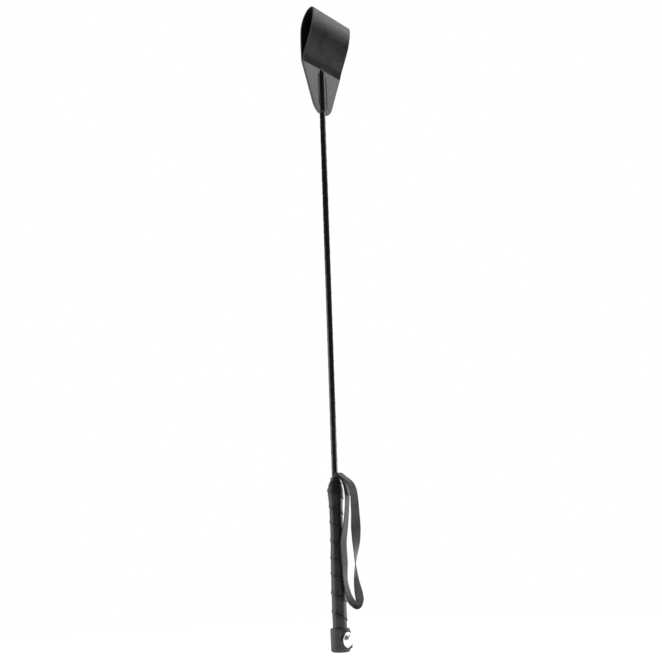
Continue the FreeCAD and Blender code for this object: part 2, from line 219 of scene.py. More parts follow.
def lengths_along(line):
    """How far along the line each of its points is."""
    return np.concatenate([[0.0], np.cumsum(np.linalg.norm(np.diff(line, axis=0), axis=1))])


def point(out, height):
    """A point in front of the shaft's axis at x = 0, from millimetres."""
    return (0.0, -out * MM, height * MM)


def ease(amount):
    """0 below 0, 1 above 1 and smooth between."""
    share = np.clip(amount, 0.0, 1.0)
    return share * share * (3 - 2 * share)


def bump_at(place, centre, spread):
    """1 at the centre, falling smoothly to 0 on both sides."""
    return np.exp(-((place - centre) / spread) ** 2)


def smoothed(values, count):
    """The values, each averaged with its neighbours over a window of count of them."""
    weights = np.hanning(count)
    return np.convolve(np.pad(values, count // 2, mode="edge"), weights / weights.sum(), mode="valid")


def outline_at(outline, height, samples, window):
    """An outline's width at a height, with eased corners, from (height, width) pairs in millimetres."""
    fine = np.linspace(outline[0][0], outline[-1][0], samples)
    widths = np.interp(fine, *zip(*outline))
    return np.interp(np.asarray(height) / MM, fine, smoothed(widths, window)) * MM


def waver(place, seed, scale):
    """A smooth wandering amount between about -1 and 1, the same each time."""
    phases = np.random.default_rng(seed).uniform(0, 2 * math.pi, 4)
    shares = (0.5, 0.3, 0.2, 0.15)
    total = 0.0
    for number, (phase, share) in enumerate(zip(phases, shares)):
        total = total + share * np.sin(place / scale * (1 + 0.83 * number) + phase)
    return total


# ---------------------------------------------------------------- material helpers


class Nodes:
    """The nodes of one material or world."""

    def __init__(self, tree):
        self.tree = tree

    def node(self, kind, inputs=(), **settings):
        """A node with some of its inputs set to values or joined to other nodes' outputs."""
        made = self.tree.nodes.new(kind)
        for setting, choice in settings.items():
            setattr(made, setting, choice)
        for socket, given in dict(inputs).items():
            self.give(made.inputs[socket], given)
        return made

    def give(self, socket, given):
        """Sets an input to a value, or joins it to an output."""
        if isinstance(given, bpy.types.NodeSocket):
            self.tree.links.new(given, socket)
        else:
            socket.default_value = given

    def spread(self, value, low, high, to_low, to_high):
        """value taken from one range to another, and kept inside it."""
        made = self.node("ShaderNodeMapRange", {"Value": value, "From Min": low, "From Max": high,
                                                "To Min": to_low, "To Max": to_high})
        return made.outputs["Result"]


class Recipe(Nodes):
    """The nodes of one procedural material."""

    def __init__(self, name):
        self.material = bpy.data.materials.new(name)
        self.material.use_nodes = True
        super().__init__(self.material.node_tree)
        self.shader = next(node for node in self.tree.nodes if node.type == "BSDF_PRINCIPLED")

    def place(self, by_uv):
        """Real-size texture coordinates: the mesh's own unwrapped metres, or its space."""
        coordinates = self.node("ShaderNodeTexCoord")
        return coordinates.outputs["UV" if by_uv else "Object"]

    def stretched(self, place, scale):
        return self.node("ShaderNodeMapping", {"Vector": place, "Scale": scale}).outputs["Vector"]

    def noise(self, place, scale, detail=4.0, roughness=0.55):
        made = self.node("ShaderNodeTexNoise", {"Vector": place, "Scale": scale, "Detail": detail,
                                                "Roughness": roughness})
        return made.outputs["Fac"]

    def cells(self, place, scale, feature="F1", randomness=1.0):
        made = self.node("ShaderNodeTexVoronoi", {"Vector": place, "Scale": scale, "Randomness": randomness},
                         feature=feature)
        return made.outputs["Distance"]

    def waves(self, place, period, direction="X", distortion=0.0):
        """Even bands of a real period. The wave node repeats 20 times in 2 pi at scale 1."""
        scale = 2 * math.pi / (20 * period)
        made = self.node("ShaderNodeTexWave", {"Vector": place, "Scale": scale, "Distortion": distortion},
                         wave_type="BANDS", bands_direction=direction, wave_profile="SIN")
        return made.outputs["Fac"]

    def maths(self, operation, *given):
        made = self.node("ShaderNodeMath", operation=operation)
        for socket, amount in zip(made.inputs, given):
            self.give(socket, amount)
        return made.outputs[0]

    def blend(self, share, first, second):
        """One colour turning into another."""
        made = self.node("ShaderNodeMix", data_type="RGBA")
        colours = [socket for socket in made.inputs if socket.type == "RGBA"]
        self.give(made.inputs["Factor"], share)
        self.give(colours[0], first)
        self.give(colours[1], second)
        return next(socket for socket in made.outputs if socket.type == "RGBA")

    def marked(self, attribute):
        """A number painted on the mesh."""
        return self.node("ShaderNodeAttribute", attribute_name=attribute).outputs["Fac"]

    def raised(self, height, depth, onto=None):
        """A bump of a real depth."""
        inputs = {"Height": height, "Distance": depth, "Strength": 1.0}
        if onto is not None:
            inputs["Normal"] = onto
        return self.node("ShaderNodeBump", inputs).outputs["Normal"]

    def finish(self, **inputs):
        """Gives the surface shader its inputs, named with _ for spaces."""
        for name, given in inputs.items():
            self.give(self.shader.inputs[name.replace("_", " ")], given)
        return self.material


def grey(level, warmth=0.0):
    """An opaque colour of a linear lightness, a little warmer or cooler."""
    return (level * (1 + warmth), level, level * (1 - warmth), 1.0)


def mark(mesh, attribute, amounts):
    """Paints a number on each point of a mesh."""
    layer = mesh.attributes.new(attribute, "FLOAT", "POINT")
    layer.data.foreach_set("value", np.asarray(amounts, np.float32))


def mark_cut_rim(item, foot, reach, amount=1.0):
    """Paints a turned piece's top as a raw edge, from foot up over reach."""
    heights = np.array([vertex.co.z for vertex in item.data.vertices])
    mark(item.data, "raw_edge", amount * ease((heights - foot) / reach))


def leather(name, by_uv, dark, grain_size, grain_depth, smooth, rough, edge):
    """Black finished leather: cells of grain, fine pores, faint clouding and paler raw cut edges.

    smooth and rough are the ends of its roughness, and edge is a raw edge's lightness. Where seam
    shade is painted on the mesh, its shine drops to almost none, a painted dark line in the seams.
    """
    recipe = Recipe(name)
    place = recipe.place(by_uv)
    grain = recipe.cells(place, 1 / grain_size, feature="SMOOTH_F1")
    fine = recipe.noise(place, 1 / (0.35 * grain_size), detail=3.0)
    clouds = recipe.noise(place, 1 / (14 * MM), detail=5.0)
    relief = recipe.maths("MULTIPLY_ADD", fine, 0.35, grain)
    raw_edge = recipe.marked("raw_edge")
    # Painted shade: the specular level falls to almost none where the seam shade is marked, darkening each
    # seam's crevice.
    specular_dulled_by_painted_shade = recipe.spread(recipe.marked("painted_seam_shade"), 0.0, 1.0, 0.5, 0.02)
    finish = recipe.blend(recipe.spread(clouds, 0.35, 0.7, 0.0, 1.0), grey(dark), grey(dark * 1.7, 0.04))
    colour = recipe.blend(raw_edge, finish, grey(edge))
    gloss = recipe.spread(clouds, 0.3, 0.7, smooth, rough)
    gloss = recipe.maths("ADD", gloss, recipe.maths("MULTIPLY", raw_edge, 0.3))
    soft = recipe.raised(recipe.noise(place, 1 / (5 * MM), detail=2.0), 0.12 * MM)
    return recipe.finish(Base_Color=colour, Roughness=gloss, Specular_IOR_Level=specular_dulled_by_painted_shade,
                         Normal=recipe.raised(relief, grain_depth, soft))


def glossy_strip():
    """The shiny black plastic strip wound up the shaft."""
    recipe = Recipe("shaft_strip_gloss")
    place = recipe.place(by_uv=False)
    drawn = recipe.noise(recipe.stretched(place, (1.0, 1.0, 0.12)), 1 / (0.5 * MM), detail=3.0)
    scuffs = recipe.noise(recipe.stretched(place, (1.0, 1.0, 0.3)), 1 / (3 * MM), detail=6.0, roughness=0.7)
    colour = recipe.blend(recipe.spread(scuffs, 0.45, 0.75, 0.0, 1.0), grey(0.010), grey(0.022))
    gloss = recipe.spread(scuffs, 0.35, 0.75, 0.14, 0.26)
    return recipe.finish(Base_Color=colour, Roughness=gloss, Specular_IOR_Level=0.55, Coat_Weight=0.25,
                         Coat_Roughness=0.12, Normal=recipe.raised(drawn, 0.006 * MM))


def woven_tape():
    """Black woven tape: ribs along it, close picks across it and a little fuzz."""
    recipe = Recipe("woven_tape")
    place = recipe.place(by_uv=True)
    ribs = recipe.waves(place, 0.62 * MM, direction="X")
    picks = recipe.waves(place, 0.42 * MM, direction="Y", distortion=0.6)
    weave = recipe.maths("MULTIPLY", ribs, picks)
    worn = recipe.noise(place, 1 / (1.6 * MM), detail=5.0, roughness=0.65)
    tone = recipe.maths("ADD", recipe.maths("MULTIPLY", weave, 0.55), recipe.maths("MULTIPLY", worn, 0.6))
    colour = recipe.blend(recipe.spread(tone, 0.25, 0.85, 0.0, 1.0), grey(0.012), grey(0.05, 0.02))
    gloss = recipe.spread(worn, 0.3, 0.7, 0.42, 0.62)
    lumps = recipe.raised(worn, 0.15 * MM)
    return recipe.finish(Base_Color=colour, Roughness=gloss, Specular_IOR_Level=0.6, Sheen_Weight=0.35,
                         Sheen_Roughness=0.35, Normal=recipe.raised(weave, 0.10 * MM, lumps))


def waxed_thread():
    """Black waxed thread with a twist along it."""
    recipe = Recipe("waxed_thread")
    place = recipe.place(by_uv=False)
    twist = recipe.waves(place, 0.4 * MM, direction="DIAGONAL")
    fibres = recipe.noise(place, 1 / (0.15 * MM), detail=3.0)
    colour = recipe.blend(fibres, grey(0.012), grey(0.04))
    return recipe.finish(Base_Color=colour, Roughness=recipe.spread(fibres, 0.3, 0.7, 0.4, 0.6),
                         Normal=recipe.raised(twist, 0.05 * MM))


def polished_metal():
    """Bright plated steel with fine scratches and a few duller smudges."""
    recipe = Recipe("polished_metal")
    place = recipe.place(by_uv=False)
    smudges = recipe.noise(place, 1 / (4 * MM), detail=5.0)
    scratches = recipe.noise(recipe.stretched(place, (1.0, 1.0, 0.06)), 1 / (0.12 * MM), detail=2.0)
    colour = recipe.blend(smudges, grey(0.78, 0.01), grey(0.9, 0.01))
    gloss = recipe.spread(smudges, 0.3, 0.7, 0.26, 0.36)
    return recipe.finish(Base_Color=colour, Metallic=1.0, Roughness=gloss,
                         Normal=recipe.raised(scratches, 0.003 * MM))


def plain_solid(name, low, high, roughness, grain_size, grain_depth, metallic=0.0):
    """A moulded or drawn material with fine mottling, for parts inside the crop."""
    recipe = Recipe(name)
    place = recipe.place(by_uv=False)
    mottle = recipe.noise(place, 1 / grain_size, detail=5.0)
    speckle = recipe.noise(place, 4 / grain_size, detail=2.0)
    colour = recipe.blend(mottle, low, high)
    return recipe.finish(Base_Color=colour, Metallic=metallic, Normal=recipe.raised(speckle, grain_depth),
                         Roughness=recipe.spread(mottle, 0.3, 0.7, roughness - 0.06, roughness + 0.08))


KEEPER_LEATHER = leather("keeper_leather", True, 0.012, 0.55 * MM, 0.008 * MM, 0.27, 0.34, 0.14)
GRIP_LEATHER = leather("grip_leather", False, 0.011, 0.7 * MM, 0.02 * MM, 0.32, 0.42, 0.06)
CAP_LEATHER = leather("cap_leather", False, 0.012, 0.6 * MM, 0.012 * MM, 0.28, 0.36, 0.10)
STRIP = glossy_strip()
TAPE = woven_tape()
THREAD = waxed_thread()
METAL = polished_metal()
FIBREGLASS = plain_solid("drawn_fibreglass", grey(0.45, 0.06), grey(0.6, 0.05), 0.4, 1.2 * MM, 0.02 * MM)
CORE_PLASTIC = plain_solid("core_plastic", grey(0.02), grey(0.035), 0.5, 2 * MM, 0.02 * MM)
FOAM = plain_solid("padding_foam", grey(0.05), grey(0.09), 0.85, 0.8 * MM, 0.15 * MM)
BOARD = plain_solid("lining_board", grey(0.03, 0.1), grey(0.06, 0.12), 0.8, 0.9 * MM, 0.06 * MM)
STEEL = plain_solid("nail_steel", grey(0.4), grey(0.5), 0.35, 0.6 * MM, 0.01 * MM, metallic=1.0)

# ---------------------------------------------------------------- spiral-wound strips


def spiral_skin(name, ends, foot_at, radius_at, section, material, segments, seed):
    """A strip wound up the shaft, left-handed, each turn lapping the one below.

    foot_at gives the height of the strip's lower edge after a number of turns from +X. section holds
    (share of the way up to the next turn, stand-out, painted seam shade) for each line along it.
    """
    bottom, top = ends
    first_row = 0
    while foot_at((first_row + segments) / segments) > bottom:
        first_row -= segments
    last_row = 0
    while foot_at(last_row / segments) < top:
        last_row += segments
    rows = np.arange(first_row, last_row + 1)
    angles = -2 * math.pi * rows / segments
    feet = np.array([foot_at(row / segments) for row in rows])
    next_feet = np.array([foot_at((row + segments) / segments) for row in rows])
    vary = 1.0 + 0.28 * waver(rows, seed, segments * 0.23)
    # The last column is painted seam shade.
    shares, stand_outs, seam_shade_depths = np.array(section).T
    heights = feet[:, None] + (next_feet - feet)[:, None] * shares[None, :]
    heights = np.clip(heights, bottom, top)
    radii = radius_at(heights) + stand_outs[None, :] * vary[:, None]
    points = np.stack([radii * np.cos(angles)[:, None], radii * np.sin(angles)[:, None], heights], axis=2)
    faces, places = grid_faces(len(rows), len(section), closed=False)
    uvs = [(row / segments * 2 * math.pi * COVER_R, heights[row, column]) for row, column in places]
    return piece(name, points.reshape(-1, 3), faces, uvs, material, sharp_angle=60.0,
                 seam_shade_depths=np.tile(seam_shade_depths, len(rows)))


# ---------------------------------------------------------------- shaft

STRIP_PITCH = 14.1 * MM
# The strip's own section, from its lower edge up: (share of a turn, stand-out, painted seam shade).
STRIP_SECTION = [
    (0.003, -0.02 * MM, 0.0), (0.0, 0.09 * MM, 0.0), (0.004, 0.15 * MM, 0.0), (0.018, 0.17 * MM, 0.0),
    (0.07, 0.15 * MM, 0.0), (0.25, 0.11 * MM, 0.0), (0.5, 0.07 * MM, 0.0), (0.8, 0.03 * MM, 0.0),
    (1.004, -0.02 * MM, 0.0),
]


def strip_foot(turns):
    """The height of the shaft strip's lower edge after a number of turns."""
    return COVER_FOOT + STRIP_PITCH * turns + 0.4 * MM * waver(turns, 3, 0.7)


def strip_radius(heights):
    """The strip's mean radius, the same at every height."""
    return np.full_like(heights, COVER_R - 0.1 * MM)


def make_shaft():
    ends = (COVER_FOOT, COVER_TOP)
    cover = spiral_skin("spiral_strip", ends, strip_foot, strip_radius, STRIP_SECTION, STRIP,
                        segments=40, seed=10)
    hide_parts("shaft_cover")
    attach(cover, "crop")


# ---------------------------------------------------------------- grip

# The grip's outside from the butt up: (height, radius), in millimetres.
GRIP_SHAPE = [
    (21.0, 7.1), (60.0, 7.1), (80.0, 6.9), (90.0, 6.75), (99.0, 6.45), (109.0, 6.3), (125.0, 6.4),
    (134.0, 6.55), (139.0, 6.75), (144.0, 7.25), (148.0, 7.7), (152.0, 7.75), (155.0, 7.2),
    (157.5, 6.2), (159.5, 5.4), (161.0, 5.1),
]
# Heights of the leather strip's lower edge on the side seen at the left, and how many turns from
# +X that side is.
SEAM_HEIGHTS = [3.0, 20.3, 37.3, 54.6, 72.6, 87.1, 103.7, 120.8, 135.9, 151.2, 166.7]
SEAM_SIDE_TURNS = 127.2 / 360
# The strip's own section, from its lower edge up: (share of a turn, stand-out, painted seam shade).
# The last column paints shade: it dulls the shine at each lapped seam to draw the dark line under the lip.
WRAP_SECTION = [
    (0.014, -0.15 * MM, 1.0), (0.002, 0.15 * MM, 1.0), (-0.006, 0.40 * MM, 0.5), (0.0, 0.56 * MM, 0.0),
    (0.018, 0.62 * MM, 0.0), (0.05, 0.52 * MM, 0.0), (0.09, 0.34 * MM, 0.0), (0.15, 0.18 * MM, 0.0),
    (0.25, 0.09 * MM, 0.0), (0.48, 0.04 * MM, 0.0), (0.74, 0.0, 0.0), (0.90, -0.03 * MM, 0.0),
    (0.955, -0.07 * MM, 0.3), (1.0, -0.13 * MM, 0.9), (1.014, -0.2 * MM, 1.0),
]


def seam_foot(turns):
    """The height of the grip strip's lower edge after a number of turns."""
    steps = np.arange(len(SEAM_HEIGHTS))
    place = turns + SEAM_SIDE_TURNS
    inside = np.interp(place, steps, SEAM_HEIGHTS)
    end_pitch = SEAM_HEIGHTS[-1] - SEAM_HEIGHTS[-2]
    beyond = np.maximum(place - steps[-1], 0.0) + np.minimum(place, 0.0)
    return (inside + end_pitch * beyond) * MM


def grip_radius(height):
    """The wrap's mean radius at a height."""
    return outline_at(GRIP_SHAPE, height, samples=600, window=23)


def make_grip():
    ends = (CAP_TOP - 1.5 * MM, COLLAR_FOOT + 1.0 * MM)
    wrap = spiral_skin("grip_leather_wrap", ends, seam_foot, grip_radius, WRAP_SECTION, GRIP_LEATHER,
                       segments=72, seed=18)
    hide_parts("grip_wrap")
    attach(wrap, "crop")

    rim = 0.8 * MM
    inside = COLLAR_R - rim
    skirt = COLLAR_FOOT - 2.4 * MM
    stand = 0.45 * MM
    profile = rounded_profile([
        (grip_radius(skirt) - 0.1 * MM, skirt, 0.0),
        (grip_radius(skirt) + stand, COLLAR_FOOT - 2.2 * MM, 0.3 * MM),
        (grip_radius(COLLAR_FOOT) + stand, COLLAR_FOOT, 1.0 * MM),
        (COLLAR_R, COLLAR_FOOT + 1.6 * MM, 1.0 * MM),
        (COLLAR_R, COLLAR_TOP, 0.3 * MM),
        (inside, COLLAR_TOP, 0.3 * MM),
        (inside, COLLAR_TOP - 4 * MM, 0.0)])
    shift = (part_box("grip_collar")[0].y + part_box("grip_collar")[1].y) / 2

    def towards_strap(rings):
        lean = ease((rings[:, :, 2] - skirt) / (COLLAR_FOOT - skirt))
        rings[:, :, 1] += shift * lean
        rings[:, :, 2] += 0.18 * MM * waver(np.arctan2(rings[:, :, 1], rings[:, :, 0]), 5, 0.6) * lean
        return rings

    collar = turned("grip_leather_collar", profile, GRIP_LEATHER, shape=towards_strap)
    mark_cut_rim(collar, COLLAR_TOP - 0.35 * MM, 0.3 * MM, 0.8)
    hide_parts("grip_collar")
    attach(collar, "crop")


# ---------------------------------------------------------------- butt


def pressed(rings, seat_depth):
    """Points round the butt pushed to a flat seat under the stud."""
    across = rings[:, :, 0]
    depth = -rings[:, :, 1]
    away = np.hypot(across, rings[:, :, 2] - STUD_HEIGHT)
    share = (1 - ease((away - WASHER_R + 0.3 * MM) / (1.6 * MM))) * (depth > 0)
    rings[:, :, 1] = -(depth * (1 - share) + seat_depth * share)
    return rings


def make_butt():
    wall = CAP_R - LINING_R
    rim_round = 0.5 * MM
    profile = rounded_profile([
        (0.01 * MM, 0.0, 0.0), (CAP_R, 0.0, 2.8 * MM), (CAP_R, 10 * MM, 0.5 * MM),
        (CAP_R, CAP_TOP, rim_round), (CAP_R - wall, CAP_TOP, rim_round),
        (CAP_R - wall, LINING_TOP - 2 * MM, 0.0)], steps=9)
    dense = []
    for here, there in zip(profile, profile[1:]):
        gap = math.hypot(there[0] - here[0], there[1] - here[1])
        for share in np.linspace(0, 1, max(2, int(gap / (0.7 * MM)) + 1))[:-1]:
            dense.append((here[0] + (there[0] - here[0]) * share, here[1] + (there[1] - here[1]) * share))
    dense.append(profile[-1])

    def worn_in(rings):
        round_angle = np.arctan2(rings[:, :, 1], rings[:, :, 0])
        swell = 0.10 * MM * waver(rings[:, :, 2], 21, 4 * MM) * waver(round_angle, 22, 0.5)
        out = np.hypot(rings[:, :, 0], rings[:, :, 1])
        side = ease((out - 0.6 * CAP_R) / (0.2 * CAP_R))
        for axis in (0, 1):
            rings[:, :, axis] *= 1 + side * swell / np.maximum(out, 1 * MM)
        flat_side = np.hypot(rings[:, :, 0], rings[:, :, 1]) > CAP_R - 0.4 * wall
        seated = pressed(rings.copy(), -STUD_BACK - 0.45 * MM)
        return np.where(flat_side[:, :, None] & (seated[:, :, 1:2] > rings[:, :, 1:2]), seated, rings)

    cap = turned("butt_leather_cap", dense, CAP_LEATHER, segments=120, shape=worn_in)
    mark_cut_rim(cap, CAP_TOP - 0.45 * MM, 0.35 * MM)
    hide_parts("butt_cap")
    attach(cap, "crop")
    make_flap()


def make_flap():
    """The cap's leather end, lapped over itself under the stud, with a puckered bulge to one side."""
    bulge_rise = 1.1 * MM
    bulge_angle = 0.62
    bulge_spread = 0.24
    thick = -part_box("cap_flap")[0].y - CAP_R
    half_angle = math.radians(52)
    edge = 0.35 * MM
    columns = np.linspace(-1, 1, 121)
    rows = np.linspace(0, 1, 81)
    middle = (FLAP_FOOT + FLAP_TOP) / 2
    half_height = (FLAP_TOP - FLAP_FOOT) / 2
    outer = []
    inner = []
    for share in rows:
        height_share = 2 * share - 1
        corner = max(0.0, (abs(height_share) - 0.8) / 0.2)
        reach = half_angle * (1 - 0.10 * (1 - math.sqrt(max(0.0, 1 - corner ** 2))))
        angles = columns * reach
        height = np.full_like(angles, middle + half_height * height_share)
        height = height + 0.25 * MM * waver(angles * 10, 31, 5.0)
        to_side = (1 - np.abs(columns)) * half_angle * CAP_R
        to_end = (1 - abs(height_share)) * half_height
        rounding = np.clip(np.minimum(to_side, to_end) / edge, 0, 1)
        stand = thick * (0.15 + 0.85 * np.sqrt(1 - (1 - rounding) ** 2))
        bulge = bump_at(angles, bulge_angle, bulge_spread) * ease((0.9 - share) / 0.6)
        stand = stand + bulge_rise * bulge * rounding
        for layer, radius in ((outer, CAP_R + stand), (inner, np.full_like(angles, CAP_R - 0.3 * MM))):
            layer.append(np.stack([radius * np.sin(angles), -radius * np.cos(angles), height], axis=1))
    outer = pressed(np.array(outer), -STUD_BACK + 0.05 * MM)
    inner = pressed(np.array(inner), -STUD_BACK - 0.6 * MM)
    rings = np.concatenate([outer, inner[:, ::-1]], axis=1)
    flap = loft("cap_lapped_end", rings, CAP_LEATHER, capped=True)
    spots = [vertex.co for vertex in flap.data.vertices]
    distances = np.array([min(half_angle - abs(math.atan2(spot.x, -spot.y)),
                              (half_height - abs(spot.z - middle)) / CAP_R) for spot in spots])
    mark(flap.data, "raw_edge", 0.6 * (1 - ease(distances * CAP_R / (0.5 * MM))))
    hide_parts("cap_flap")
    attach(flap, "crop")


def facing_front(profile, segments=96):
    """Rings turned about the stud's axis from (radius, distance in front of the shaft's axis) pairs."""
    angles = np.linspace(0, 2 * math.pi, segments, endpoint=False)
    rings = [[(radius * math.cos(a), -out, STUD_HEIGHT + radius * math.sin(a)) for a in angles]
             for radius, out in profile]
    return np.array(rings)


def make_stud():
    back = -STUD_BACK
    face = -STUD_FACE
    front = -STUD_FRONT
    rim = rounded_profile([
        (STUD_R - 1.2 * MM, back, 0.0), (WASHER_R, back, 0.2 * MM), (WASHER_R, face + 0.05 * MM, 0.35 * MM),
        (STUD_R - 0.1 * MM, face + 0.12 * MM, 0.2 * MM), (STUD_R - 0.5 * MM, face - 0.2 * MM, 0.0)])
    washer = loft("stud_rolled_rim", facing_front(rim), METAL)
    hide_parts("stud_washer")
    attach(washer, "crop")

    rise = front - face
    ball = (STUD_R ** 2 + rise ** 2) / (2 * rise)
    widest = math.asin(STUD_R / ball)
    dome = [(STUD_R - 0.6 * MM, face - 0.1 * MM), (STUD_R - 0.05 * MM, face + 0.02 * MM)]
    for share in np.linspace(1, 0, 26):
        angle = widest * share
        radius = max(ball * math.sin(angle), 0.01 * MM)
        dome.append((radius, front - ball * (1 - math.cos(angle))))
    head = loft("stud_pressed_dome", facing_front(dome), METAL)
    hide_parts("stud_head")
    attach(head, "crop")


# ---------------------------------------------------------------- wrist strap

# The strap's middle line, repeated from part.py: (in front of the axis, height), in millimetres.
STRAP_LOOP = [
    (9.0, 163.6), (11.7, 159.8), (13.6, 153.2), (14.3, 143.0), (13.4, 134.0), (11.9, 122.7), (9.6, 111.0),
    (7.6, 103.0), (7.8, 92.0), (8.3, 84.0), (8.3, 73.0), (8.4, 66.0), (9.6, 60.0), (11.4, 53.5),
    (14.4, 46.6), (19.4, 42.8), (24.4, 43.0), (24.6, 48.5), (23.4, 55.0), (21.8, 63.0), (21.0, 72.0),
    (21.0, 82.0), (22.2, 93.0), (23.0, 103.0), (23.1, 115.0), (23.2, 128.0), (22.8, 139.0),
    (22.3, 147.5), (20.6, 155.0), (16.6, 160.2), (10.2, 164.6),
]
# How far the tape is turned about its own line at each of those points, in degrees.
STRAP_TURNS = [
    0, -3, -8, -12, -13, -10, -5,
    0, 0, 0, -10, -13, -10, -4,
    10, 18, 60, 88, 87, 70, 54,
    35, 13, -14, -34, -19, -14,
    -10, -6, -3, 0,
]
# Each end comes out of the collar, one layer over the other, and bends over to the loop.
STRAP_START = [(4.5, 157.0), (4.5, 161.0), (4.5, 164.6), (4.6, 166.5), (6.2, 166.4)]
STRAP_END = [(6.6, 167.4), (4.6, 168.8), (3.5, 167.2), (3.6, 164.6), (3.6, 161.0), (3.6, 157.0)]
STRAP_THICK = 0.8 * MM


class Ribbon:
    """Places across and along a flat tape that follows a line and turns about it."""

    def __init__(self, line, twist, curl):
        self.line = line
        self.along = lengths_along(line)
        tangents = np.gradient(line, axis=0)
        self.tangents = tangents / np.linalg.norm(tangents, axis=1)[:, None]
        sideways = np.array([1.0, 0.0, 0.0])
        normals = np.cross(self.tangents, sideways)
        turn = np.radians(twist)[:, None]
        self.across = sideways[None, :] * np.cos(turn) + normals * np.sin(turn)
        self.normals = np.cross(self.tangents, self.across)
        self.curl = curl

    def spots(self, across, lift):
        """Rows of points, one for each of the line's, from places across the tape and lifts off it."""
        bend = self.curl[:, None] * across[None, :]
        tight = np.where(np.abs(self.curl) < 1.0, 1.0, self.curl)[:, None]
        side = np.where(np.abs(self.curl)[:, None] < 1.0, across[None, :], np.sin(bend) / tight)
        rise = np.where(np.abs(self.curl)[:, None] < 1.0, 0.0, (1 - np.cos(bend)) / tight)
        tilt_side = -np.sin(bend) * lift[None, :]
        tilt_rise = np.cos(bend) * lift[None, :]
        return (self.line[:, None, :] + self.across[:, None, :] * (side + tilt_side)[:, :, None]
                + self.normals[:, None, :] * (rise + tilt_rise)[:, :, None])


def tape_section(width, thick, count=15):
    """(across, lift) arrays round a flat tape's section, with soft edges."""
    half = width / 2
    spots = np.linspace(-1, 1, count)
    spots = np.sign(spots) * (1 - (1 - np.abs(spots)) ** 1.4)
    past_flat = ((np.abs(spots) * half - (half - thick / 2)) / (thick / 2)).clip(0, 1)
    fall = np.sqrt(np.clip(1 - past_flat ** 2, 0, 1))
    upper = thick / 2 * (0.12 + 0.88 * fall)
    across = np.concatenate([spots * half, spots[::-1] * half])
    lift = np.concatenate([upper, -upper[::-1]])
    return across, lift


def on_grip_leg(line):
    """True for the line's points on the leg along the grip, before the lowest point."""
    lowest = int(line[:, 2].argmin())
    return np.arange(len(line)) < lowest


def strap_twist(line, route, turns):
    """The tape's turn at each of the line's points, from its turns at the route's points."""
    along = lengths_along(line)
    places = []
    begin = 0
    for spot in route:
        window = line[begin:begin + 60]
        begin += int(np.linalg.norm(window - np.array(spot), axis=1).argmin())
        places.append(along[begin])
    return smoothed(np.interp(along, places, turns), 5)


def strap_curl(line):
    """How tightly the tape's section is curled round the shaft, per metre, at each point."""
    out = -line[:, 1] / MM
    height = line[:, 2] / MM
    in_collar = (out < 6.0) & (height > 156.0)
    share = (1 - ease((height - 164.5) / 3.0)) * in_collar
    side = np.where(on_grip_leg(line), 1.0, -1.0)
    return side * share / (np.maximum(out, 3.6) * MM)


def make_strap():
    """The tape, its lap and its seam."""
    route = [point(*spot) for spot in STRAP_START + STRAP_LOOP + STRAP_END]
    line = smooth_line(route, 0.9 * MM)
    turns = [0] * len(STRAP_START) + STRAP_TURNS + [0] * len(STRAP_END)
    ribbon = Ribbon(line, strap_twist(line, route, turns), strap_curl(line))
    across, lift = tape_section(STRAP_WIDTH, STRAP_THICK)
    rings = ribbon.spots(across, lift)
    tape = loft("wrist_tape", rings, TAPE, capped=True)
    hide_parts("wrist_strap", "strap_tails")

    lap = make_lap(ribbon)
    seam = make_seam(ribbon)
    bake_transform(tape)
    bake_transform(lap)
    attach(seam, "strap")


def sub_ribbon(ribbon, chosen, shift, twist):
    """A second tape lying on part of a first one, moved across it and turned a little more."""
    part = Ribbon(ribbon.line[chosen], np.zeros(int(chosen.sum())), np.zeros(int(chosen.sum())))
    turn = np.radians(twist)[:, None]
    across = ribbon.across[chosen]
    normals = ribbon.normals[chosen]
    part.across = across * np.cos(turn) + normals * np.sin(turn)
    part.normals = normals * np.cos(turn) - across * np.sin(turn)
    part.line = ribbon.line[chosen] + part.across * shift[:, None]
    return part


LAP_TOP, LAP_FOOT = 163.0 * MM, 145.5 * MM


def make_lap(ribbon):
    """The tape's sewn-down end, which lies on the leg along the grip and flares at its cut edge."""
    heights = ribbon.line[:, 2]
    out = -ribbon.line[:, 1]
    chosen = on_grip_leg(ribbon.line) & (heights < LAP_TOP) & (heights > LAP_FOOT) & (out > 9 * MM)
    share = (LAP_TOP - heights[chosen]) / (LAP_TOP - LAP_FOOT)
    part = sub_ribbon(ribbon, chosen, 1.6 * MM * share ** 1.5, -14.0 * share)
    part.line = part.line + part.normals * (STRAP_THICK * (1.05 + 0.9 * share[:, None] ** 3))
    across, lift = tape_section(STRAP_WIDTH * 0.96, STRAP_THICK)
    rings = part.spots(across, lift)
    lap = loft("strap_sewn_end", rings, TAPE, capped=True)
    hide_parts("strap_lap")
    return lap


def make_seam(ribbon):
    """Two rows of stitches across the free leg."""
    heights = ribbon.line[:, 2]
    free_leg = ~on_grip_leg(ribbon.line)
    points = []
    faces = []
    pitch = 1.5 * MM
    spots = np.arange(-4.2 * MM, 4.3 * MM, pitch)
    for level in (133.6 * MM, 136.0 * MM):
        index = int(np.where(free_leg, np.abs(heights - level), 1.0).argmin())
        middle = ribbon.line[index]
        for across in spots:
            begin = middle + ribbon.across[index] * (across - 0.42 * pitch)
            finish = middle + ribbon.across[index] * (across + 0.42 * pitch)
            for way in (-ribbon.normals[index], ribbon.normals[index]):
                bow = arched(begin, finish, way, STRAP_THICK / 2 - 0.12 * MM, 0.24 * MM)
                add_thread(points, faces, bow, 0.21 * MM, ribbon.tangents[index])
    seam = sewn("strap_seam_thread", points, faces)
    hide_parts("strap_seam_stitches")
    return seam


def sewn(name, points, faces):
    """A piece made of stitches. Its thread is textured by place, so it needs no unwrapping."""
    uvs = [(0.0, 0.0)] * sum(len(face) for face in faces)
    return piece(name, points, faces, uvs, THREAD)


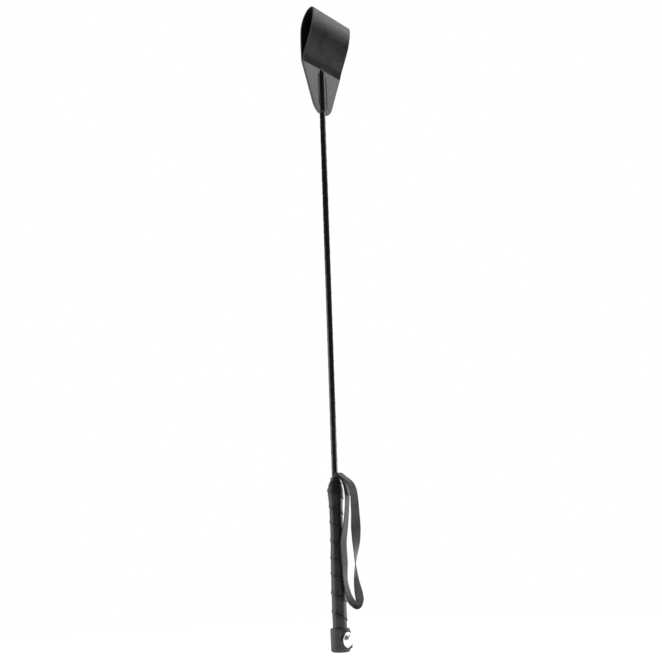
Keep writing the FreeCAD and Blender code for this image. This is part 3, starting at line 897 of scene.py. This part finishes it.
def arched(begin, finish, way, foot, rise):
    """Points of a stitch from begin to finish, foot off them along way and rise more in the middle."""
    shares = np.linspace(0, 1, 7)[:, None]
    return begin + (finish - begin) * shares + way * (foot + rise * np.sin(math.pi * shares))


def add_thread(points, faces, bow, radius, side):
    """A short round thread along a bow of points."""
    sides = 8
    first = len(points)
    ways = np.gradient(bow, axis=0)
    for number, (spot, way) in enumerate(zip(bow, ways)):
        way = way / np.linalg.norm(way)
        other = np.cross(way, side)
        taper = 0.35 if number in (0, len(bow) - 1) else 1.0
        for corner in range(sides):
            angle = 2 * math.pi * corner / sides
            points.append(spot + radius * taper * (math.cos(angle) * side + math.sin(angle) * other))
    for row in range(len(bow) - 1):
        for corner in range(sides):
            after = (corner + 1) % sides
            base = first + row * sides
            faces.append([base + corner, base + after, base + sides + after, base + sides + corner])
    faces.append([first + corner for corner in range(sides)])
    faces.append([first + (len(bow) - 1) * sides + corner for corner in range(sides)])


# ---------------------------------------------------------------- keeper

KEEPER_THICK = 1.3 * MM
CREASE = 593.5 * MM
# Middle of the keeper's leather round its loop, repeated from part.py, in millimetres.
KEEPER_LOOP = [
    (1.9, 598.6), (4.9, 605.8), (8.2, 613.6), (11.0, 620.4), (13.6, 627.4), (15.4, 635.2), (16.5, 643.0),
    (16.4, 650.0), (9.8, 648.4), (4.9, 642.7), (1.4, 636.0), (-0.5, 628.5), (-0.9, 618.0), (-0.9, 607.0),
    (-0.7, 598.0),
]
# The wings' half width from their foot up: (height, half width), in millimetres.
WING_SHAPE = [(543.9, 5.4), (544.6, 7.4), (547.2, 11.0), (551.0, 14.3), (556.0, 16.5), (576.0, 24.6),
              (593.5, 32.0)]
RIDGE_R = 4.3 * MM
RIDGE_FOOT, RIDGE_DOME = 547.5 * MM, 590.2 * MM
STITCH_OUT = 6.4 * MM
STITCH_PITCH = 2.3 * MM
STITCH_FOOT, STITCH_TOP = 552.0 * MM, 587.0 * MM
GROOVE_DEPTH = 0.28 * MM


def wing_half(height):
    """Half of the keeper's width at a height."""
    return outline_at(WING_SHAPE, height, samples=400, window=15)


def ridge_lift(across, height, radius):
    """How far leather moulded over the shaft stands off the wings' middle plane."""
    over = np.maximum(0.0, height - RIDGE_DOME)
    under = np.maximum(0.0, RIDGE_FOOT - height) * 3.0
    inside = radius ** 2 - across ** 2 - over ** 2 - under ** 2
    return np.sqrt(np.maximum(inside, 0.0))


def soft_max(first, second, width):
    """The larger of two amounts, with a fillet where they cross."""
    gap = np.clip(0.5 + 0.5 * (second - first) / width, 0, 1)
    return first * (1 - gap) + second * gap + width * gap * (1 - gap)


def keeper_columns(half):
    """Places across the keeper, close together over the ridge and its stitching."""
    core_half = min(8.0 * MM, 0.86 * half)
    core = np.linspace(-core_half, core_half, 57)
    wing = core_half + (half - core_half) * np.linspace(0, 1, 22)[1:] ** 0.9
    edge = half - 0.55 * MM * np.linspace(1, 0, 5) ** 2
    wing = np.concatenate([core_half + (wing[:-4] - core_half) * (half - 0.6 * MM - core_half)
                           / (wing[-5] - core_half), edge])
    return np.concatenate([-wing[::-1], core, wing])


def make_keeper():
    """The folded leather, wings and loop in one, and the stitching beside its ridge."""
    leaving = (0.0, -KEEPER_THICK / 2, CREASE)
    returning = (0.0, KEEPER_THICK / 2, CREASE)
    loop = smooth_line([leaving] + [point(*spot) for spot in KEEPER_LOOP] + [returning], 1.1 * MM)
    wing_rows = int((CREASE - WING_FOOT) / (0.5 * MM))
    climb = np.linspace(WING_FOOT, CREASE, wing_rows)[:-1]
    front = np.stack([np.zeros_like(climb), np.full_like(climb, -KEEPER_THICK / 2), climb], axis=1)
    back = front[::-1] * np.array([1.0, -1.0, 1.0])
    line = np.concatenate([front, loop, back])
    on_wing = np.concatenate([np.ones(len(front)), np.zeros(len(loop)), np.ones(len(back))])
    ways = np.gradient(line, axis=0)
    ways = ways / np.linalg.norm(ways, axis=1)[:, None]
    outward = np.cross(ways, np.array([-1.0, 0.0, 0.0]))
    rings = []
    edge_marks = []
    for spot, out, winged in zip(line, outward, on_wing):
        has_ridge = bool(winged) or spot[2] < RIDGE_DOME + RIDGE_R
        outer, inner, edges = keeper_section(spot, out, has_ridge)
        rings.append(np.concatenate([outer, inner[::-1]]))
        edge_marks.append(np.concatenate([edges, edges[::-1]]))
    keeper = loft("keeper_folded_leather", rings, KEEPER_LEATHER, capped=True)
    mark(keeper.data, "raw_edge", np.array(edge_marks).ravel())
    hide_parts("keeper_base", "keeper_loop")
    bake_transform(keeper)
    for name, node, side in (("keeper_thread_left", "keeper_stitches_left", -1),
                             ("keeper_thread_right", "keeper_stitches_right", 1)):
        make_stitch_row(name, node, side)


def keeper_section(spot, out, has_ridge):
    """Outer and inner points across the keeper at one point of its middle line, and its edge marks."""
    height = spot[2]
    half = float(wing_half(height)) if height < CREASE else KEEPER_HALF
    across = keeper_columns(half)
    to_edge = np.maximum(half - np.abs(across), 0.0)
    round_edge = 0.25 * MM
    fall = 1 - np.sqrt(np.clip(1 - (1 - np.clip(to_edge / round_edge, 0, 1)) ** 2, 0, 1))
    pull = fall * 0.15 * KEEPER_THICK
    if has_ridge:
        to_foot = np.clip((height - WING_FOOT) / round_edge, 0, 1)
        pull = np.maximum(pull, (1 - np.sqrt(1 - (1 - to_foot) ** 2)) * 0.2 * KEEPER_THICK)
        ridge = ridge_lift(across, height, RIDGE_R)
        face = soft_max(np.full_like(across, KEEPER_THICK), ridge, 0.9 * MM)
        room = ridge_lift(across, height, COVER_R + 0.15 * MM)
        groove = (bump_at(np.abs(across), STITCH_OUT, 0.55 * MM)
                  * ease((height - STITCH_FOOT + 1 * MM) / MM) * ease((STITCH_TOP + 1 * MM - height) / MM))
        outer_lift = face - KEEPER_THICK / 2 - pull - GROOVE_DEPTH * groove
        inner_lift = np.maximum(room, 0.02 * MM) - KEEPER_THICK / 2 + pull
    else:
        outer_lift = KEEPER_THICK / 2 - pull
        inner_lift = -KEEPER_THICK / 2 + pull
    base = spot[None, :] + across[:, None] * np.array([1.0, 0.0, 0.0])
    marks = np.clip(1.2 - to_edge / (0.2 * MM), 0, 1)
    return base + outer_lift[:, None] * out, base + inner_lift[:, None] * out, marks


def make_stitch_row(name, node, side):
    """One row of stitches, on the front and on the back of the wings."""
    points = []
    faces = []
    count = int((STITCH_TOP - STITCH_FOOT) / STITCH_PITCH)
    for number in range(count):
        low = STITCH_FOOT + (number + 0.12) * STITCH_PITCH
        high = STITCH_FOOT + (number + 0.88) * STITCH_PITCH
        begin = np.array([side * STITCH_OUT, 0.0, low])
        finish = np.array([side * STITCH_OUT, 0.0, high])
        for face in (-1.0, 1.0):
            way = np.array([0.0, face, 0.0])
            bow = arched(begin, finish, way, KEEPER_THICK - GROOVE_DEPTH - 0.05 * MM, 0.36 * MM)
            add_thread(points, faces, bow, 0.30 * MM, np.array([1.0, 0.0, 0.0]))
    row = sewn(name, points, faces)
    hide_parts(node)
    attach(row, "crop")


# ---------------------------------------------------------------- CAD parts that show as they are

CARRIED = {
    "rod": (FIBREGLASS, "rod_fibreglass"),
    "tip_whipping": (THREAD, "thread"),
    "handle_core": (CORE_PLASTIC, "core_plastic"),
    "grip_padding": (FOAM, "padding"),
    "butt_plug": (CORE_PLASTIC, "core_plastic"),
    "cap_lining": (BOARD, "cap_lining_board"),
    "stud_nail": (STEEL, "nail_steel"),
    "strap_whipping": (THREAD, "thread"),
}


def dress_carried_parts():
    for name, (material, slot) in CARRIED.items():
        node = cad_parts[name]
        if not node.material_slots:
            node.data.materials.append(material)
        for holder in node.material_slots:
            holder.material = material


# ---------------------------------------------------------------- studio

VIEW_AZIMUTH = math.radians(-52.8)
CAMERA_DISTANCE = 1.030
CAMERA_HEIGHT = 0.0947
AIM_HEIGHT = 0.3108
CAMERA_ROLL = -0.0341
LENS_MM = 56.8
SENSOR_MM = 36.0
# (name, degrees round from the camera to its right, height, distance, size, power, height aimed at)
LIGHTS = [
    ("left_box", -85, 0.32, 1.2, (1.0, 0.86), 7.0, 0.32),
    ("low_right_box", 100, 0.13, 1.2, (0.9, 0.5), 5.5, 0.13),
    ("high_right_box", 100, 1.45, 1.2, (0.9, 0.9), 7.1, 1.0),
    ("top_box", 60, 3.0, 0.9, (1.8, 1.8), 12.0, 0.6),
]


def towards_camera():
    return Vector((math.sin(VIEW_AZIMUTH), -math.cos(VIEW_AZIMUTH), 0.0))


def camera_right():
    return Vector((math.cos(VIEW_AZIMUTH), math.sin(VIEW_AZIMUTH), 0.0))


def make_camera():
    lens = bpy.data.cameras.new("camera")
    lens.lens = LENS_MM
    lens.sensor_width = SENSOR_MM
    lens.shift_x = 0.0017
    lens.dof.use_dof = False
    lens.clip_start = 0.01
    camera = placed("camera", lens)
    spot = towards_camera() * CAMERA_DISTANCE + Vector((0.0, 0.0, CAMERA_HEIGHT))
    forward = (Vector((0.0, 0.0, AIM_HEIGHT)) - spot).normalized()
    level = forward.cross(Vector((0.0, 0.0, 1.0))).normalized()
    upright = level.cross(forward)
    right = level * math.cos(CAMERA_ROLL) + upright * math.sin(CAMERA_ROLL)
    up = upright * math.cos(CAMERA_ROLL) - level * math.sin(CAMERA_ROLL)
    axes = Matrix((right, up, -forward)).transposed().to_4x4()
    camera.matrix_world = Matrix.Translation(spot) @ axes
    bpy.context.scene.camera = camera


def soft_light(name, turn, height, distance, size, power, aim_height):
    """A rectangular light, which the camera can't see."""
    angle = math.radians(turn)
    way = towards_camera() * math.cos(angle) + camera_right() * math.sin(angle)
    lamp = bpy.data.lights.new(name, "AREA")
    lamp.shape = "RECTANGLE"
    lamp.size, lamp.size_y = size
    lamp.energy = power
    item = placed(name, lamp)
    item.location = way * distance + Vector((0.0, 0.0, height))
    facing = item.location - Vector((0.0, 0.0, aim_height))
    item.rotation_euler = facing.to_track_quat("Z", "Y").to_euler()
    item.visible_camera = False


# How bright the dim front of the room and the white wall behind the crop are.
DIM, WALL = 0.06, 2.0
WHITE = (1.0, 1.0, 1.0, 1.0)


def make_studio():
    """A white backdrop for the camera, a room brighter behind the crop, a floor and the lights."""
    scene = bpy.context.scene
    scene.view_settings.view_transform = "Standard"
    world = bpy.data.worlds.new("studio")
    scene.world = world
    world.use_nodes = True
    world.node_tree.nodes.clear()
    sky = Nodes(world.node_tree)
    way = sky.node("ShaderNodeTexCoord").outputs["Generated"]
    behind = sky.node("ShaderNodeVectorMath", {0: way, 1: -towards_camera()}, operation="DOT_PRODUCT")
    glow = sky.spread(behind.outputs["Value"], 0.45, 0.85, DIM, WALL)
    ambient = sky.node("ShaderNodeBackground", {"Color": WHITE, "Strength": glow}).outputs[0]
    backdrop = sky.node("ShaderNodeBackground", {"Color": WHITE, "Strength": 1.0}).outputs[0]
    seen = sky.node("ShaderNodeLightPath").outputs["Is Camera Ray"]
    surface = sky.node("ShaderNodeMixShader", {0: seen, 1: ambient, 2: backdrop}).outputs[0]
    sky.node("ShaderNodeOutputWorld", {"Surface": surface})

    recipe = Recipe("studio_floor")
    recipe.finish(Base_Color=grey(0.9), Roughness=0.9, Emission_Color=WHITE, Emission_Strength=1.0)
    work = bmesh.new()
    bmesh.ops.create_circle(work, cap_ends=True, segments=96, radius=0.5)
    mesh = bpy.data.meshes.new("studio_floor")
    work.to_mesh(mesh)
    work.free()
    mesh.materials.append(recipe.material)
    floor = placed("studio_floor", mesh)
    floor.location.z = -0.05 * MM

    for light in LIGHTS:
        soft_light(*light)


make_shaft()
make_grip()
make_butt()
make_stud()
make_strap()
make_keeper()
dress_carried_parts()
make_camera()
make_studio()
